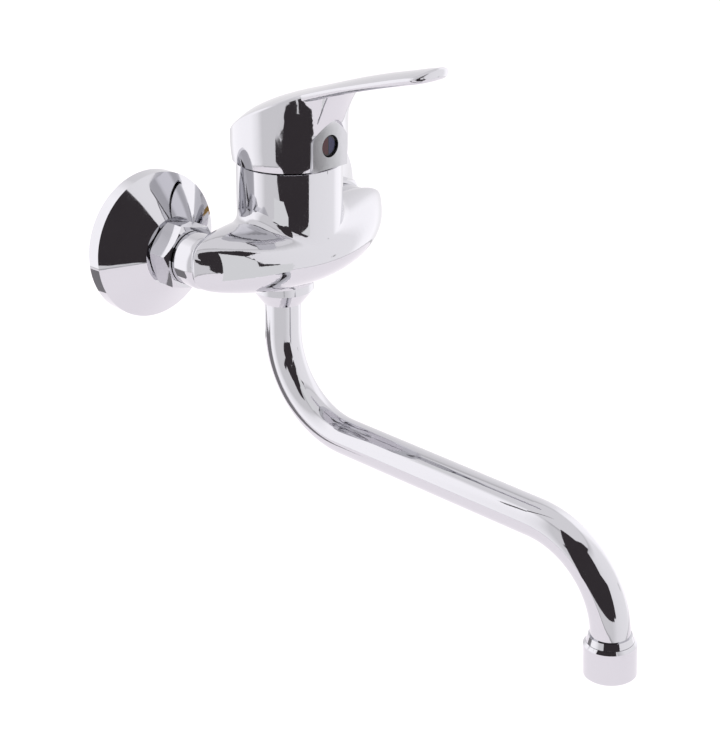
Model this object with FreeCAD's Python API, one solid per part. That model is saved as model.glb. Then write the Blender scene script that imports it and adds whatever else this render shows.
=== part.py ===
import FreeCAD, Part
import math
import os

V = FreeCAD.Vector

# Wall-mounted single-lever sink mixer, millimetres, +Z up.
# The origin lies on the wall plane, midway between the two inlets.
# +X points to the right for somebody who faces the wall, and -Y points from the wall to that person.

# Wall connection, one set on each side
INLET_SPACING = 100.0
WALL_THREAD_R = 10.48
WALL_THREAD_LENGTH = 16.0
THREAD_LEAD_IN = 1.0
NUT_THREAD_CORE_R = 12.05
UNION_FLANGE_R = 16.0
UNION_FLANGE_T = 3.0
UNION_LENGTH = 23.0
UNION_BORE_R = 6.5
UNION_KEY_AF = 14.0
UNION_KEY_DEPTH = 10.0

ESCUTCHEON_R = 35.0
ESCUTCHEON_RIM = 6.5
ESCUTCHEON_DEPTH = 18.8
ESCUTCHEON_NECK_R = 16.5
SHEET_T = 1.2

NUT_AF = 28.6
NUT_START = 19.4
NUT_LENGTH = 12.6
NUT_LIP_T = 3.6
NUT_CHAMFER = 1.6
NUT_TURN = 47.0
WASHER_T = 2.0
BUSH_FLANGE_T = 3.2
BUSH_R = 10.0
BUSH_BORE_R = 6.5
BUSH_DEPTH = 10.0
COLLAR_GAP = 0.5
NUT_SPOTFACE_GAP = 1.0
FREE_FIT = 0.15

# Body casting: boat-shaped hull, inlet collars, cartridge housing, spout boss and waterways
HULL_Y = -46.8
HULL_HALF_LENGTH = 62.5
HULL_HALF_DEPTH = 27.0
HULL_DEPTH_FALL = 1.65
HULL_HALF_HEIGHT = 17.5
HULL_HEIGHT_FALL = 0.5
HULL_END_RISE = 1.5
HULL_DROP = 3.0
HULL_SECTION_ANGLES = (-86, -78, -68, -55, -38, -20, 0, 20, 38, 55, 68, 78, 86)
COLLAR_R = 12.8
COLLAR_END_Y = -46.0
COLLAR_END_FILLET = 5.0
HOUSING_Y = -45.65
HOUSING_R = 25.2
HOUSING_TOP = 40.0
HOUSING_EDGE = 0.8
HOUSING_FILLET = 6.0
BOSS_FILLET = 3.0
COLLAR_FILLET = 1.0
CAVITY_R = 20.0
CAVITY_FLOOR = -4.0
RETAINER_BORE_R = 22.0
CHAMBER_R = 7.5
CHAMBER_END_Y = -47.5
PASSAGE_R = 4.0
PASSAGE_START_Z = -4.0
PASSAGE_END_Z = -11.5

# Spout boss and the swivel tail that hangs in it
SPOUT_Y = -40.3
BOSS_R = 15.3
BOSS_SHOULDER_Z = -26.0
BOSS_RIM_R = 10.0
BOSS_RIM_Z = -33.0
SOCKET_TOP = -17.9
OUTLET_BORE_R = 4.2
SWIVEL_FIT = 0.08
TAIL_TOP_GAP = 0.4
TAIL_TOP_CHAMFER = 0.6
TAIL_SPLIT_Z = -31.4
TAIL_BORE_R = 5.6
TAIL_SPIGOT = 6.0
RING_GROOVE_DEPTH = 1.45
RING_GROOVE_WIDTH = 2.2
RING_SQUEEZE = 0.03
O_RING_Z = (-20.5, -23.3)
LOCK_Z = -26.4
LOCK_GROOVE_DEPTH = 1.5
LOCK_GROOVE_WIDTH = 2.6
SLIDE_RING_Z = -29.5
SLIDE_RING_WIDTH = 2.2
SLIDE_RING_T = 1.0
SLIDE_RING_SLIT = 1.0
LOCK_SCREW_R = 2.5
LOCK_SCREW_LENGTH = 6.0
LOCK_TIP_R = 1.2
LOCK_TIP_REACH = 1.0
SCREW_KEY_AF = 2.5
SCREW_KEY_DEPTH = 2.5

# Spout tube, bent on one former
TUBE_R = 9.0
TUBE_WALL = 1.1
BEND_R = 44.0
FIRST_BEND_Z = -48.3
LEVEL_RUN = 115.2
OUTLET_TILT = 4.4
OUTLET_RUN = 2.4

# Outlet, measured down from the end of the second bend
FERRULE_TOP = -0.2
FERRULE_TOP_R = 9.7
FERRULE_R = 10.6
FERRULE_SHOULDER = -3.2
FERRULE_THREAD_R = 10.4
FERRULE_THREAD_LENGTH = 7.0
AERATOR_R = 11.9
AERATOR_TOP = -3.45
AERATOR_LENGTH = 16.4
AERATOR_THREAD_R = 10.5
AERATOR_CHAMFER = 1.3
AERATOR_EDGE = 0.5
AERATOR_LIP_R = 9.3
AERATOR_LIP_H = 1.4
AERATOR_WASHER_T = 1.6
AERATOR_WASHER_BORE_R = 7.4
MESH_T = 0.8
INSERT_FIT = 0.1
INSERT_RIM = 1.6
INSERT_FLOOR_T = 2.2
INSERT_HOLE_R = 0.8
INSERT_HOLE_PITCH = 3.0

# Cartridge, heights above the inlet axis
CARTRIDGE_R = 19.85
BASE_TOP = 2.5
PORT_X = 7.5
INLET_PORT_Y = -3.0
OUTLET_PORT_Y = 7.0
PORT_R = 3.6
SEAL_WALL = 1.2
SEAL_T = 1.6
PEG_R = 2.0
PEG_LENGTH = 3.0
PEG_X = 12.5
PEG_Y = 8.0
PEG_FIT = 0.05
PEG_END_GAP = 0.2
FIXED_DISC_R = 16.9
FIXED_DISC_T = 4.8
DISC_FILM = 0.02
DISC_REST_Y = 2.3
MOVING_DISC_R = 12.2
MOVING_DISC_T = 4.6
CHAMBER_DEPTH = 2.4
CHAMBER_HALF_X = 6.8
CHAMBER_HALF_Y = 4.6
CHAMBER_Y = 4.3
CHAMBER_CORNER_R = 2.0
DRIVER_PLATE_T = 2.6
DRIVER_HALF_X = 8.8
DRIVER_HALF_Y = 6.6
DRIVER_TOP = 21.4
GUIDE_FIT = 0.15
TURRET_BOTTOM = 15.0
TURRET_FLANGE_TOP = 26.0
TURRET_FLANGE_R = 17.2
TURRET_NECK_R = 13.5
TURRET_TOP = 37.0
GUIDE_CEILING_GAP = 0.6
STEM_SLOT_FIT = 0.3
STEM_SLOT_HALF_Y = 8.3
SHELL_FIT = 0.3
SHELL_SHOULDER = 31.0
SHELL_NECK_R = 16.2
SHELL_NECK_TOP = 36.2
PIVOT_Z = 30.0
PIVOT_R = 2.0
PIVOT_FIT = 0.03
PIVOT_INSET = 0.5
STEM_AF = 8.0
STEM_SQUARE_BOTTOM = 24.8
STEM_TOP = 60.0
STEM_NECK_R = 1.8
STEM_NECK_TOP = 23.2
BALL_R = 3.0
BALL_Z = 19.0
BALL_FIT = 0.15
RETAINER_R = 21.9
RETAINER_AF = 36.0
RETAINER_THREAD_TOP = 36.2
RETAINER_TOP = 39.4
RETAINER_HOLE_R = 16.6
CAP_RING_R = 24.3
CAP_RING_BORE_R = 17.2
CAP_RING_TOP = 42.8
CAP_RING_EDGE = 1.0
CAP_RING_SKIRT = 2.6
CAP_RING_SKIRT_T = 0.9

# Handle
RIM_GAP = 0.6
RIM_R = 26.9
SKIRT_R = 27.6
SKIRT_BULGE_Z = 50.0
SKIRT_BORE_R = 25.5
CAVITY_SHOULDER_Z = 51.0
CAVITY_WAIST_Z = 57.0
CAVITY_WAIST_R = 20.0
CAVITY_ROOF_Z = 62.5
CAVITY_ROOF_R = 11.0
FACET_DEPTH = 26.65
FACET_HALF_WIDTH = 11.2
FACET_TOP = 64.3
FACET_SPRING_Z = 54.5
FACET_SIDE_RUN = 1.0
FACET_CROWN_RUN = 4.5
FACET_PAD = 8.0
LEVER_REACH = 90.5
LEVER_START_REACH = 12.0
LEVER_START_HALF = 19.5
LEVER_START_RUN = V(-2.5, -10.0, 0)
LEVER_UNDER_FILLET = 2.5
LEVER_ROOT_REACH = 46.0
LEVER_ROOT_HALF = 13.4
LEVER_ROOT_RUN = 14.0
LEVER_TIP_HALF = 11.2
LEVER_TIP_ROUND = 8.0
LEVER_TIP_FULLNESS = 0.8
LEVER_TIP_FLAT_SHARE = 0.45
LEVER_OVERLAP = 18.0
EDGE_FILLET = 1.2
HUB_R = 7.6
HUB_BOTTOM = 48.0
SOCKET_FIT = 0.05
TUNNEL_R = 7.0
KEY_CHANNEL_R = 3.2
PLUG_Z = 51.3
PLUG_R = 5.2
PLUG_T = 3.0
PLUG_RECESS = 1.2
PLUG_EDGE = 0.5
PLUG_FIT = 0.05
PLUG_STEM_R = 3.1
PLUG_STEM_LENGTH = 3.0
HANDLE_SCREW_R = 2.5
HANDLE_SCREW_LENGTH = 6.0

# Crest of the dome, from its back forwards: distance in front of the housing axis, height of the
# crest, half width and fall of the crowned section
DOME_CREST = (
    (-36.0, 32.0, 14.0, 5.0),
    (-28.0, 48.5, 15.0, 6.0),
    (-24.0, 55.6, 17.0, 6.5),
    (-18.0, 61.6, 20.0, 6.5),
    (-9.0, 67.0, 25.0, 6.0),
    (3.0, 72.2, 28.0, 5.2),
    (20.0, 78.0, 26.0, 4.6),
)
# Crest of the lever, to beyond its tip: share of the lever's reach, then as above
LEVER_CREST = (
    (0.442, 84.7, 17.0, 3.2),
    (0.663, 90.8, 13.5, 2.8),
    (0.862, 95.6, 12.6, 2.7),
    (1.05, 99.4, 12.2, 2.6),
)
CREST_MARGIN = 4.0
# Sweep of the dome's wall into the lever: share of the full sweep by degrees from the front
FLARE_SHARES = (
    (0, 1.0), (8, 0.97), (16, 0.88), (20, 0.77), (25, 0.58), (30, 0.36), (37, 0.14), (45, 0.03),
    (54, 0), (66, 0), (80, 0), (100, 0), (120, 0), (140, 0), (160, 0), (180, 0))
FLARE_START_Z = 52.0
FLARE_SECTIONS = 10
BELLY_SECTIONS = 3
DOME_TOP_Z = 88.0
# Reach gained by the sweep for each square millimetre of height above its start
FLARE_GROWTH = 0.015
# Underside of the lever: share of the lever's reach and height
UNDERSIDE = ((0.287, 74.2), (0.608, 83.8), (1.017, 93.6))

INLET_X = INLET_SPACING / 2.0
HOUSING_C = V(0, HOUSING_Y, 0)
SPOUT_C = V(0, SPOUT_Y, 0)
NUT_END = NUT_START + NUT_LENGTH
COLLAR_START = NUT_END + COLLAR_GAP
BUSH_END = COLLAR_START + BUSH_DEPTH
SOCKET_R = TUBE_R + SWIVEL_FIT
RIM_Z = HOUSING_TOP + RIM_GAP
DISC_Z = BASE_TOP + FIXED_DISC_T + DISC_FILM
PLATE_Z = DISC_Z + MOVING_DISC_T
DRIVER_C = V(0, HOUSING_Y + DISC_REST_Y, 0)
SKY_Z = LEVER_CREST[-1][1] + SKIRT_R
CLEAR = 1.0
# Sine and cosine of the middle of a quarter circle
HALF_WAY = math.sqrt(0.5)
SEAM_TOLERANCE = 0.05
SEAM_SHARES = (0.1, 0.5, 0.9)
# A face looks up or down past the first share of its normal, and out to the side below the second
STEEP = 0.6
SHALLOW = 0.35


def cylinder(radius, z0, z1, centre=V(0, 0, 0)):
    return Part.makeCylinder(radius, z1 - z0, centre + V(0, 0, z0))


def ring(outer, inner, z0, z1, centre=V(0, 0, 0)):
    return cylinder(outer, z0, z1, centre).cut(cylinder(inner, z0 - CLEAR, z1 + CLEAR, centre))


def bar(radius, start, end):
    """Round bar between two points."""
    run = end - start
    return Part.makeCylinder(radius, run.Length, start, run)


def revolved(points, centre=V(0, 0, 0)):
    """Solid of revolution about +Z through centre, from (radius, height) corners."""
    corners = [V(r, 0, z) for r, z in points]
    face = Part.Face(Part.makePolygon(corners + corners[:1]))
    solid = face.revolve(V(0, 0, 0), V(0, 0, 1), 360)
    return solid.translated(centre)


def block(half_x, half_y, z0, z1, centre=V(0, 0, 0)):
    corner = centre + V(-half_x, -half_y, z0)
    return Part.makeBox(2 * half_x, 2 * half_y, z1 - z0, corner)


def round_the_axis(radius, count, turn=0.0):
    """Points spread evenly on a circle about the origin, the first one turned by that angle."""
    angles = [math.radians(turn) + 2 * math.pi * i / count for i in range(count)]
    return [V(radius * math.cos(angle), radius * math.sin(angle), 0) for angle in angles]


def corner_radius(across_flats):
    return across_flats / 2 / math.cos(math.pi / 6)


def hexagon(across_flats, z0, z1, turn=0.0):
    corners = round_the_axis(corner_radius(across_flats), 6, turn)
    face = Part.Face(Part.makePolygon(corners + corners[:1]))
    return face.extrude(V(0, 0, z1 - z0)).translated(V(0, 0, z0))


def edge_point(edge, share):
    return edge.valueAt(edge.FirstParameter + share * (edge.LastParameter - edge.FirstParameter))


def edge_middle(edge):
    return edge_point(edge, 0.5)


def runs_at(edge, radius, distance):
    """True for an edge whose points all lie at that radius, as the distance function measures them."""
    return all(abs(distance(edge_point(edge, share)) - radius) < SEAM_TOLERANCE for share in SEAM_SHARES)


def edge_normals(shape, edge):
    """Outward normals, at the middle of an edge, of the faces that meet there."""
    middle = edge_middle(edge)
    normals = []
    for face in shape.ancestorsOfType(edge, Part.Face):
        u, v = face.Surface.parameter(middle)
        normals.append(face.normalAt(u, v))
    return normals


def filleted(shape, radius, wanted):
    """Rounds the edges that the test picks, given each edge."""
    edges = [edge for edge in shape.Edges if wanted(edge)]
    return shape.makeFillet(radius, edges)


def on_inlet(shape, side):
    """Turns a shape drawn along +Z from the wall to point at the user, on the inlet of that side."""
    turned = shape.rotated(V(0, 0, 0), V(1, 0, 0), 90)
    return turned.translated(V(side * INLET_X, 0, 0))


def grub_screw(radius, length):
    """Headless screw along +Z with its hexagon socket at the top end."""
    shank = cylinder(radius, 0, length)
    return shank.cut(hexagon(SCREW_KEY_AF, length - SCREW_KEY_DEPTH, length + CLEAR))


# Wall connection

def wall_union():
    bolt = revolved([
        (0, -WALL_THREAD_LENGTH), (WALL_THREAD_R - THREAD_LEAD_IN, -WALL_THREAD_LENGTH),
        (WALL_THREAD_R, THREAD_LEAD_IN - WALL_THREAD_LENGTH), (WALL_THREAD_R, 0),
        (UNION_FLANGE_R, 0), (UNION_FLANGE_R, UNION_FLANGE_T),
        (NUT_THREAD_CORE_R, UNION_FLANGE_T), (NUT_THREAD_CORE_R, UNION_LENGTH), (0, UNION_LENGTH)])
    bore = cylinder(UNION_BORE_R, -WALL_THREAD_LENGTH - CLEAR, UNION_LENGTH + CLEAR)
    key = hexagon(UNION_KEY_AF, UNION_LENGTH - UNION_KEY_DEPTH, UNION_LENGTH + CLEAR)
    return bolt.cut(bore).cut(key)


def escutcheon():
    """Pressed sheet cover: a low rim at the wall and a cone up to the nut."""
    bore_r = NUT_THREAD_CORE_R + FREE_FIT
    slope = (ESCUTCHEON_DEPTH - ESCUTCHEON_RIM) / (ESCUTCHEON_R - ESCUTCHEON_NECK_R)
    inner_rim = ESCUTCHEON_RIM + (slope - math.hypot(1, slope)) * SHEET_T
    outer = [
        (ESCUTCHEON_R, 0), (ESCUTCHEON_R, ESCUTCHEON_RIM), (ESCUTCHEON_NECK_R, ESCUTCHEON_DEPTH),
        (bore_r, ESCUTCHEON_DEPTH)]
    inner = [
        (bore_r, ESCUTCHEON_DEPTH - SHEET_T), (ESCUTCHEON_NECK_R, ESCUTCHEON_DEPTH - SHEET_T),
        (ESCUTCHEON_R - SHEET_T, inner_rim), (ESCUTCHEON_R - SHEET_T, 0)]
    return revolved(outer + inner)


def union_nut():
    corner_r = corner_radius(NUT_AF)
    limits = revolved([
        (0, NUT_START), (NUT_AF / 2, NUT_START), (corner_r, NUT_START + NUT_CHAMFER),
        (corner_r, NUT_END - NUT_CHAMFER), (NUT_AF / 2, NUT_END), (0, NUT_END)])
    thread = cylinder(NUT_THREAD_CORE_R + FREE_FIT, NUT_START - CLEAR, NUT_END - NUT_LIP_T)
    lip = cylinder(BUSH_R + FREE_FIT, NUT_START - CLEAR, NUT_END + CLEAR)
    return hexagon(NUT_AF, NUT_START, NUT_END, NUT_TURN).common(limits).cut(thread).cut(lip)


def filter_washer():
    return ring(NUT_THREAD_CORE_R, UNION_BORE_R, UNION_LENGTH, UNION_LENGTH + WASHER_T)


def inlet_bush():
    flange_start = UNION_LENGTH + WASHER_T
    flange_end = flange_start + BUSH_FLANGE_T
    outer = revolved([
        (0, flange_start), (NUT_THREAD_CORE_R, flange_start), (NUT_THREAD_CORE_R, flange_end),
        (BUSH_R, flange_end), (BUSH_R, BUSH_END), (0, BUSH_END)])
    return outer.cut(cylinder(BUSH_BORE_R, flange_start - CLEAR, BUSH_END + CLEAR))


# Body casting

def hull_section(x, centre_z, half_depth, half_height):
    """Elliptical cross-section of the hull in the plane at x."""
    long_r = max(half_depth, half_height)
    short_r = min(half_depth, half_height)
    edge = Part.Ellipse(V(0, 0, 0), long_r, short_r).toShape()
    if half_depth < half_height:
        edge.rotate(V(0, 0, 0), V(0, 0, 1), 90)
    turned = edge.rotated(V(0, 0, 0), V(1, 1, 1), 120)
    return Part.Wire(turned.translated(V(x, HULL_Y, centre_z)))


def hull():
    """Boat shape: deep and low in the middle, slim and raised at both ends."""
    sections = []
    for angle in HULL_SECTION_ANGLES:
        fall = math.cos(math.radians(angle))
        sections.append(hull_section(
            HULL_HALF_LENGTH * math.sin(math.radians(angle)),
            HULL_END_RISE - (HULL_END_RISE + HULL_DROP) * fall ** 3,
            HULL_HALF_DEPTH * fall ** HULL_DEPTH_FALL,
            HULL_HALF_HEIGHT * fall ** HULL_HEIGHT_FALL))
    return Part.makeLoft(sections, True, False)


def inlet_collar():
    collar = cylinder(COLLAR_R, COLLAR_START, -COLLAR_END_Y)
    return filleted(collar, COLLAR_END_FILLET,
                    lambda edge: edge.Closed and edge_middle(edge).z > COLLAR_START)


def spout_boss():
    return revolved([
        (0, CAVITY_FLOOR), (BOSS_R, CAVITY_FLOOR), (BOSS_R, BOSS_SHOULDER_Z),
        (BOSS_RIM_R, BOSS_RIM_Z), (0, BOSS_RIM_Z)], SPOUT_C)


def is_seam(edge):
    """True for an edge where two curved walls cut each other."""
    return edge.Curve.TypeId not in ("Part::GeomLine", "Part::GeomCircle")


def meets_wall(edge, centre, radius):
    """True for a seam that runs on the round vertical wall of that radius about centre."""
    return is_seam(edge) and runs_at(
        edge, radius, lambda point: math.hypot(point.x - centre.x, point.y - centre.y))


def meets_collar(edge):
    """True for a seam that runs on the round wall of one of the inlet collars."""
    return is_seam(edge) and runs_at(
        edge, COLLAR_R, lambda point: math.hypot(abs(point.x) - INLET_X, point.z))


def nut_spotface():
    """Room for the nut's corners where the hull's back comes near it."""
    return cylinder(corner_radius(NUT_AF) + NUT_SPOTFACE_GAP, 0, COLLAR_START)


def body_outside():
    """Outer form of the casting: hull, housing and boss, run together by fillets, and collars."""
    housing = cylinder(HOUSING_R, CAVITY_FLOOR, HOUSING_TOP, HOUSING_C)
    housing = housing.makeChamfer(HOUSING_EDGE, [
        edge for edge in housing.Edges if edge.Closed and edge_middle(edge).z > PIVOT_Z])
    body = hull().fuse(housing)
    body = filleted(body, HOUSING_FILLET, lambda edge: meets_wall(edge, HOUSING_C, HOUSING_R))
    body = body.fuse(spout_boss())
    body = filleted(body, BOSS_FILLET, lambda edge: meets_wall(edge, SPOUT_C, BOSS_R))
    for side in (-1, 1):
        body = body.fuse(on_inlet(inlet_collar(), side))
    body = filleted(body, COLLAR_FILLET, meets_collar)
    for side in (-1, 1):
        body = body.cut(on_inlet(nut_spotface(), side))
    return body


def waterways():
    """Bush bores, chambers, the slanted passages to the cartridge floor and the outlet bore."""
    ways = cylinder(OUTLET_BORE_R, SOCKET_TOP - CLEAR, CAVITY_FLOOR + CLEAR,
                    HOUSING_C + V(0, OUTLET_PORT_Y, 0))
    for side in (-1, 1):
        bore = cylinder(BUSH_R, COLLAR_START - CLEAR, BUSH_END)
        chamber = cylinder(CHAMBER_R, BUSH_END - CLEAR, -CHAMBER_END_Y)
        ways = ways.fuse(on_inlet(bore.fuse(chamber), side))
        port = HOUSING_C + V(side * PORT_X, INLET_PORT_Y, 0)
        low = port + V(0, 0, PASSAGE_END_Z)
        ways = ways.fuse(bar(PASSAGE_R, V(side * INLET_X, CHAMBER_END_Y + PASSAGE_R, PASSAGE_START_Z), low))
        ways = ways.fuse(Part.makeSphere(PASSAGE_R, low))
        ways = ways.fuse(cylinder(PASSAGE_R, PASSAGE_END_Z, CAVITY_FLOOR + CLEAR, V(port.x, port.y, 0)))
    return ways


def lock_screw_hole():
    start = V(0, SPOUT_Y + TUBE_R / 2, LOCK_Z)
    return bar(LOCK_SCREW_R, start, start + V(0, BOSS_R, 0))


def body_casting():
    body = body_outside()
    body = body.cut(cylinder(CAVITY_R, CAVITY_FLOOR, HOUSING_TOP + CLEAR, HOUSING_C))
    body = body.cut(cylinder(RETAINER_BORE_R, SHELL_SHOULDER, HOUSING_TOP + CLEAR, HOUSING_C))
    body = body.cut(cylinder(SOCKET_R, BOSS_RIM_Z - CLEAR, SOCKET_TOP, SPOUT_C))
    for side in (-1, 1):
        peg = HOUSING_C + V(side * PEG_X, PEG_Y, 0)
        depth = CAVITY_FLOOR - PEG_LENGTH - PEG_END_GAP
        body = body.cut(cylinder(PEG_R + PEG_FIT, depth, CAVITY_FLOOR + CLEAR, peg))
    return body.cut(waterways()).cut(lock_screw_hole())


# Spout: tail, seals, lock screw and tube

def tail_groove(middle, width, depth):
    return ring(TUBE_R + CLEAR, TUBE_R - depth, middle - width / 2, middle + width / 2, SPOUT_C)


def spout_tail():
    """Turned tail: bearing part with grooves for seals, lock screw and slide ring, and a spigot."""
    top = SOCKET_TOP - TAIL_TOP_GAP
    tube_bore_r = TUBE_R - TUBE_WALL
    tail = revolved([
        (0, top), (TUBE_R - TAIL_TOP_CHAMFER, top), (TUBE_R, top - TAIL_TOP_CHAMFER),
        (TUBE_R, TAIL_SPLIT_Z), (tube_bore_r, TAIL_SPLIT_Z), (tube_bore_r, TAIL_SPLIT_Z - TAIL_SPIGOT),
        (0, TAIL_SPLIT_Z - TAIL_SPIGOT)], SPOUT_C)
    for height in O_RING_Z:
        tail = tail.cut(tail_groove(height, RING_GROOVE_WIDTH, RING_GROOVE_DEPTH))
    tail = tail.cut(tail_groove(LOCK_Z, LOCK_GROOVE_WIDTH, LOCK_GROOVE_DEPTH))
    tail = tail.cut(tail_groove(SLIDE_RING_Z, SLIDE_RING_WIDTH, SLIDE_RING_T))
    return tail.cut(cylinder(TAIL_BORE_R, TAIL_SPLIT_Z - TAIL_SPIGOT - CLEAR, top + CLEAR, SPOUT_C))


def spout_o_rings():
    """Two seals, pressed slightly by the socket's wall."""
    inner = TUBE_R - RING_GROOVE_DEPTH
    section_r = (TUBE_R + RING_SQUEEZE - inner) / 2
    rings = [Part.makeTorus(inner + section_r, section_r, SPOUT_C + V(0, 0, z)) for z in O_RING_Z]
    return Part.makeCompound(rings)


def spout_slide_ring():
    """Plastic bearing ring, split so that it snaps into its groove."""
    z0 = SLIDE_RING_Z - SLIDE_RING_WIDTH / 2
    z1 = SLIDE_RING_Z + SLIDE_RING_WIDTH / 2
    band = ring(TUBE_R + RING_SQUEEZE, TUBE_R - SLIDE_RING_T, z0, z1, SPOUT_C)
    slit = block(SLIDE_RING_SLIT / 2, BOSS_R / 2, z0 - CLEAR, z1 + CLEAR, SPOUT_C + V(0, TUBE_R, 0))
    return band.cut(slit)


def spout_lock_screw():
    tip = cylinder(LOCK_TIP_R, SWIVEL_FIT - LOCK_TIP_REACH, SWIVEL_FIT * 2)
    screw = grub_screw(LOCK_SCREW_R, LOCK_SCREW_LENGTH).translated(V(0, 0, SWIVEL_FIT)).fuse(tip)
    turned = screw.rotated(V(0, 0, 0), V(1, 0, 0), -90)
    return turned.translated(V(0, SPOUT_Y + TUBE_R, LOCK_Z))


def spout_path():
    """Centre line of the tube: down from the boss, out to the user, and down to the outlet."""
    start = SPOUT_C + V(0, 0, TAIL_SPLIT_Z)
    bend_start = SPOUT_C + V(0, 0, FIRST_BEND_Z)
    centre = bend_start + V(0, -BEND_R, 0)
    bend_middle = centre + V(0, BEND_R, -BEND_R) * HALF_WAY
    bend_end = centre + V(0, 0, -BEND_R)
    level_end = bend_end + V(0, -LEVEL_RUN, 0)
    second_centre = level_end + V(0, 0, -BEND_R)
    turn = math.radians(90 - OUTLET_TILT)
    second_middle = second_centre + V(0, -math.sin(turn / 2), math.cos(turn / 2)) * BEND_R
    second_end = second_centre + V(0, -math.sin(turn), math.cos(turn)) * BEND_R
    down = V(0, -math.cos(turn), -math.sin(turn))
    return second_end, Part.Wire([
        Part.makeLine(start, bend_start),
        Part.Arc(bend_start, bend_middle, bend_end).toShape(),
        Part.makeLine(bend_end, level_end),
        Part.Arc(level_end, second_middle, second_end).toShape(),
        Part.makeLine(second_end, second_end + down * OUTLET_RUN)])


def swept(radius):
    start = SPOUT_C + V(0, 0, TAIL_SPLIT_Z)
    profile = Part.Wire([Part.makeCircle(radius, start, V(0, 0, -1))])
    return spout_path()[1].makePipeShell([profile], True, False)


def spout_tube():
    return swept(TUBE_R).cut(swept(TUBE_R - TUBE_WALL))


def at_outlet(shape):
    """Moves a shape drawn down from the origin to the end of the second bend, tilted with it."""
    tilted = shape.rotated(V(0, 0, 0), V(1, 0, 0), -OUTLET_TILT)
    return tilted.translated(spout_path()[0])


# Outlet, drawn down from the origin

def outlet_ferrule():
    end = FERRULE_SHOULDER - FERRULE_THREAD_LENGTH
    outer = revolved([
        (0, FERRULE_TOP), (FERRULE_TOP_R, FERRULE_TOP), (FERRULE_R, FERRULE_SHOULDER),
        (FERRULE_THREAD_R, FERRULE_SHOULDER), (FERRULE_THREAD_R, end), (0, end)])
    seat = cylinder(TUBE_R, -OUTLET_RUN, CLEAR)
    bore = cylinder(TUBE_R - TUBE_WALL, end - CLEAR, CLEAR)
    return outer.cut(seat).cut(bore)


def aerator_housing():
    bottom = AERATOR_TOP - AERATOR_LENGTH
    outer = revolved([
        (0, AERATOR_TOP), (AERATOR_R - AERATOR_CHAMFER, AERATOR_TOP),
        (AERATOR_R, AERATOR_TOP - AERATOR_CHAMFER), (AERATOR_R, bottom + AERATOR_EDGE),
        (AERATOR_R - AERATOR_EDGE, bottom), (0, bottom)])
    thread = cylinder(AERATOR_THREAD_R, bottom + AERATOR_LIP_H, AERATOR_TOP + CLEAR)
    mouth = cylinder(AERATOR_LIP_R, bottom - CLEAR, AERATOR_TOP)
    return outer.cut(thread).cut(mouth)


def aerator_washer():
    top = FERRULE_SHOULDER - FERRULE_THREAD_LENGTH
    return ring(AERATOR_THREAD_R - INSERT_FIT, AERATOR_WASHER_BORE_R, top - AERATOR_WASHER_T, top)


def aerator_mesh():
    top = FERRULE_SHOULDER - FERRULE_THREAD_LENGTH - AERATOR_WASHER_T
    return cylinder(AERATOR_THREAD_R - INSERT_FIT, top - MESH_T, top)


def aerator_insert():
    """Flow straightener: a cup whose floor has rings of holes."""
    top = FERRULE_SHOULDER - FERRULE_THREAD_LENGTH - AERATOR_WASHER_T - MESH_T
    bottom = AERATOR_TOP - AERATOR_LENGTH + AERATOR_LIP_H
    outer_r = AERATOR_THREAD_R - INSERT_FIT
    insert = cylinder(outer_r, bottom, top)
    insert = insert.cut(cylinder(outer_r - INSERT_RIM, bottom + INSERT_FLOOR_T, top + CLEAR))
    insert = insert.cut(cylinder(INSERT_HOLE_R, bottom - CLEAR, top))
    floor_r = outer_r - INSERT_RIM - INSERT_HOLE_R
    for number in range(1, 1 + int(floor_r / INSERT_HOLE_PITCH)):
        for place in round_the_axis(number * INSERT_HOLE_PITCH, 6 * number):
            insert = insert.cut(cylinder(INSERT_HOLE_R, bottom - CLEAR, top, place))
    return insert


# Cartridge, on the housing axis

def port_places():
    return (
        HOUSING_C + V(-PORT_X, INLET_PORT_Y, 0),
        HOUSING_C + V(PORT_X, INLET_PORT_Y, 0),
        HOUSING_C + V(0, OUTLET_PORT_Y, 0))


def cartridge_base():
    base = cylinder(CARTRIDGE_R, CAVITY_FLOOR, BASE_TOP, HOUSING_C)
    for side in (-1, 1):
        place = HOUSING_C + V(side * PEG_X, PEG_Y, 0)
        base = base.fuse(cylinder(PEG_R, CAVITY_FLOOR - PEG_LENGTH, CAVITY_FLOOR + CLEAR, place))
    for place in port_places():
        base = base.cut(cylinder(PORT_R, CAVITY_FLOOR - CLEAR, BASE_TOP + CLEAR, place))
        base = base.cut(cylinder(PORT_R + SEAL_WALL, CAVITY_FLOOR - CLEAR, CAVITY_FLOOR + SEAL_T, place))
    return base


def port_seals():
    seals = [ring(PORT_R + SEAL_WALL, PORT_R, CAVITY_FLOOR, CAVITY_FLOOR + SEAL_T, place)
             for place in port_places()]
    return Part.makeCompound(seals)


def fixed_disc():
    disc = cylinder(FIXED_DISC_R, BASE_TOP, BASE_TOP + FIXED_DISC_T, HOUSING_C)
    for place in port_places():
        disc = disc.cut(cylinder(PORT_R, BASE_TOP - CLEAR, DISC_Z + CLEAR, place))
    return disc


def moving_disc():
    """Upper ceramic disc; the chamber in its lower face joins inlets and outlet when it slides."""
    disc = cylinder(MOVING_DISC_R, DISC_Z, PLATE_Z, DRIVER_C)
    chamber = block(CHAMBER_HALF_X, CHAMBER_HALF_Y, DISC_Z - CLEAR, DISC_Z + CHAMBER_DEPTH,
                    DRIVER_C + V(0, CHAMBER_Y, 0))
    corners = filleted(chamber, CHAMBER_CORNER_R, lambda edge: abs(edge.tangentAt(0).z) > STEEP)
    return disc.cut(corners)


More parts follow.
